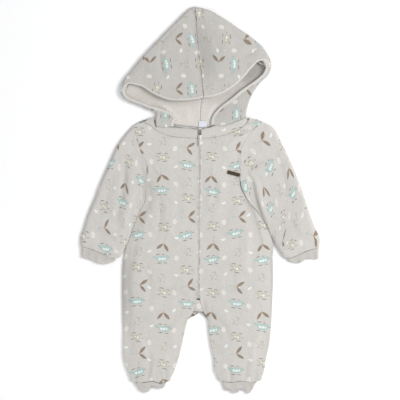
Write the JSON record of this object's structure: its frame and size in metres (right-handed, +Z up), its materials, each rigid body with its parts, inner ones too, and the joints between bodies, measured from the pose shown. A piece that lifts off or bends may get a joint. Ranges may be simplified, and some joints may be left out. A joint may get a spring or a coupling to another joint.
{
  "type": "hooded baby overall",
  "caption": "Hooded zip-front baby overall with long sleeves and rib cuffs, laid flat with the hood spread above the neck.",
  "frame": {"origin": "middle of the garment's width and length, on the surface that it lies on", "axes": "+Y from the feet to the hood, +Z up from the surface, +X towards the wearer's left arm"},
  "size_m": [0.5012, 0.8104, 0.02],
  "materials": {
    "jersey": "matte",
    "rib": "matte",
    "plush": "matte",
    "zip_tape": "satin",
    "zip_metal": "satin",
    "label": "satin",
    "plate_metal": "satin"
  },
  "bodies": {
    "garment": {"front_right": "jersey", "front_left": "jersey", "back_right": "jersey", "back_left": "jersey", "sleeve_right": "jersey", "sleeve_left": "jersey", "cuff_right": "rib", "cuff_left": "rib", "ankle_right": "rib", "ankle_left": "rib", "neck_band_right": "jersey", "neck_band_left": "jersey", "hood_right": "jersey", "hood_left": "jersey", "lining_right": "plush", "lining_left": "plush", "crotch_gusset": "jersey", "zip_right": "zip_tape", "zip_left": "zip_tape", "slider": "zip_metal", "label": "label", "chest_plate": "plate_metal"},
    "pull": {"pull_tab": "zip_metal"}
  },
  "joints": [
    {"name": "pull_hinge", "type": "hinge", "parent": "garment", "child": "pull", "pos_m": [-0.00087, 0.1315, 0.01205], "axis": [-1, 0, 0], "range_deg": [0, 165]}
  ]
}
